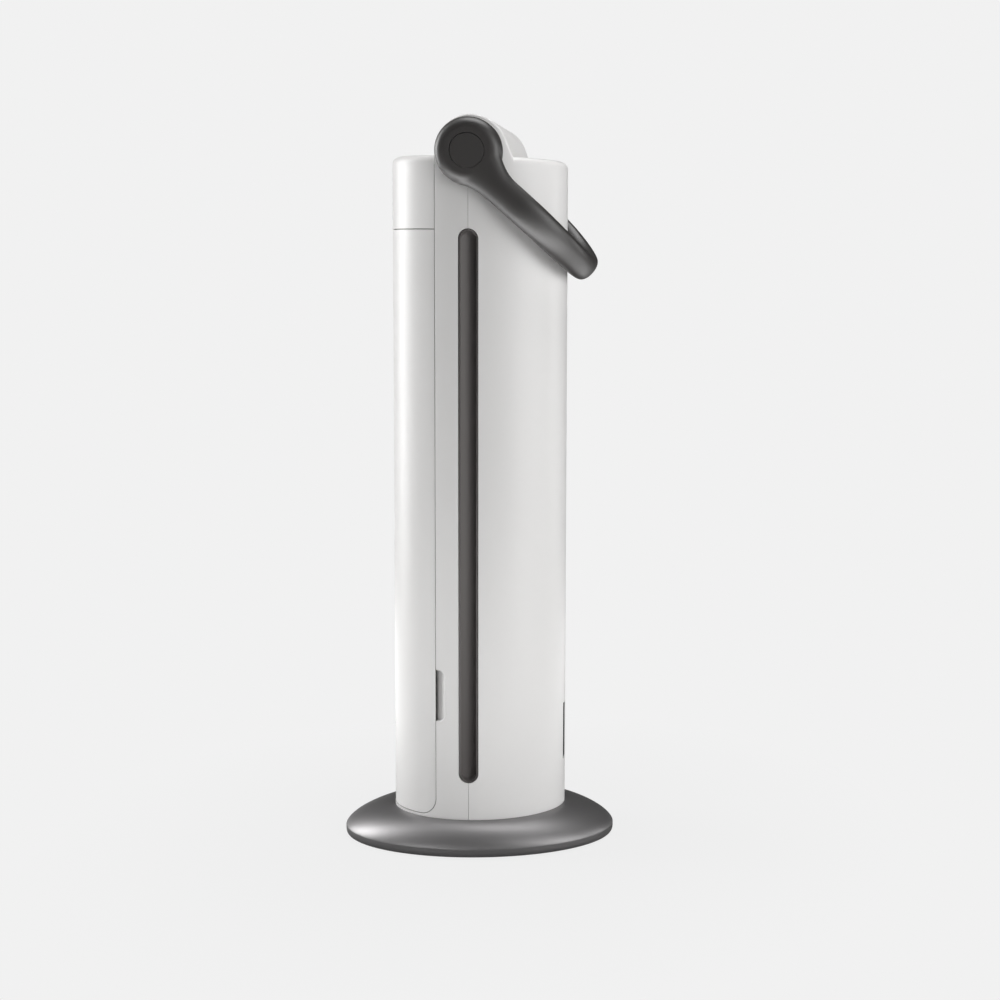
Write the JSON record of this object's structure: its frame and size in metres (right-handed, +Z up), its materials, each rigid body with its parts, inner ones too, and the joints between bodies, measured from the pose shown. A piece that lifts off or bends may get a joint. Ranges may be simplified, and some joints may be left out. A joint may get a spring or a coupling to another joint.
{
  "type": "tower air purifier",
  "caption": "Slim oval tower air purifier on a domed base, with long side slots, a removable front door over its filter and a swinging carry handle.",
  "frame": {"origin": "on the floor under the middle of the oval base", "axes": "+Z up; -Y to the front with the door; +Y to the rear with the power inlet; +X to the side on the right when looking along +Y from the front"},
  "size_m": [0.147, 0.231, 0.6135],
  "materials": {
    "white_cover": "satin off-white moulded plastic",
    "graphite_plastic": "satin graphite moulded plastic",
    "handle_plastic": "smooth satin graphite moulded plastic",
    "base_plastic": "satin metallic grey moulded plastic",
    "inner_plastic": "plain grey moulded plastic",
    "dark_plastic": "plain black moulded plastic",
    "button_plastic": "satin mid-grey moulded plastic",
    "lens": "frosted clear plastic",
    "rubber": "matt black rubber",
    "steel": "zinc-plated steel",
    "sheet_steel": "zinc-plated sheet steel",
    "circuit_board": "green circuit board with parts",
    "filter_paper": "pleated filter paper",
    "carbon_felt": "carbon-filled felt",
    "pull_tab_plastic": "blue moulded plastic"
  },
  "bodies": {
    "housing": {"base_shell": "base_plastic", "base_plate": "dark_plastic", "ballast": "steel", "rubber_feet": "rubber", "base_screws": "steel", "plate_screws": "steel", "front_shell": "white_cover", "rear_shell": "white_cover", "shell_screws": "steel", "foot_frame": "inner_plastic", "control_panel": "white_cover", "indicator_lens": "lens", "display_board": "circuit_board", "outlet_liner_right": "graphite_plastic", "outlet_liner_left": "graphite_plastic", "filter_bulkhead": "inner_plastic", "air_duct": "dark_plastic", "motor_bracket": "sheet_steel", "fan_motor": "dark_plastic", "bearing_plate": "sheet_steel", "main_board": "circuit_board", "ioniser": "inner_plastic", "inlet_bezel": "dark_plastic", "power_socket": "dark_plastic", "axle_bushes": "dark_plastic"},
    "handle": {"handle": "handle_plastic", "handle_axle": "steel", "axle_screws": "steel", "hub_cap_right": "handle_plastic", "hub_cap_left": "handle_plastic"},
    "fan": {"fan_wheel": "inner_plastic", "fan_shafts": "steel"},
    "door": {"front_door": "white_cover", "door_grille": "graphite_plastic"},
    "filter": {"filter_frame": "inner_plastic", "filter_pleats": "filter_paper", "carbon_sheet": "carbon_felt", "pull_tab": "pull_tab_plastic"},
    "power_button": {"power_button": "button_plastic"},
    "speed_button": {"speed_button": "button_plastic"}
  },
  "joints": [
    {"name": "handle_swing", "type": "hinge", "parent": "housing", "child": "handle", "pos_m": [0, 0.0012, 0.5835], "axis": [1, 0, 0], "range_deg": [0, 136]},
    {"name": "fan_spin", "type": "hinge", "parent": "housing", "child": "fan", "pos_m": [0, 0.03, 0.274], "axis": [0, 0, 1], "continuous": true},
    {"name": "door_slide", "type": "slide", "parent": "housing", "child": "door", "axis": [0, -1, 0], "range_m": [0, 0.2]},
    {"name": "filter_slide", "type": "slide", "parent": "housing", "child": "filter", "axis": [0, -1, 0], "range_m": [0, 0.1]},
    {"name": "power_button_press", "type": "slide", "parent": "housing", "child": "power_button", "axis": [0, 1, 0], "range_m": [0, 0.0012], "stiffness_N_per_m": 500},
    {"name": "speed_button_press", "type": "slide", "parent": "housing", "child": "speed_button", "axis": [0, 1, 0], "range_m": [0, 0.0012], "stiffness_N_per_m": 500}
  ],
  "couplings": [
    {"joint": "filter_slide", "follows": "door_slide", "ratio": 0.5}
  ]
}
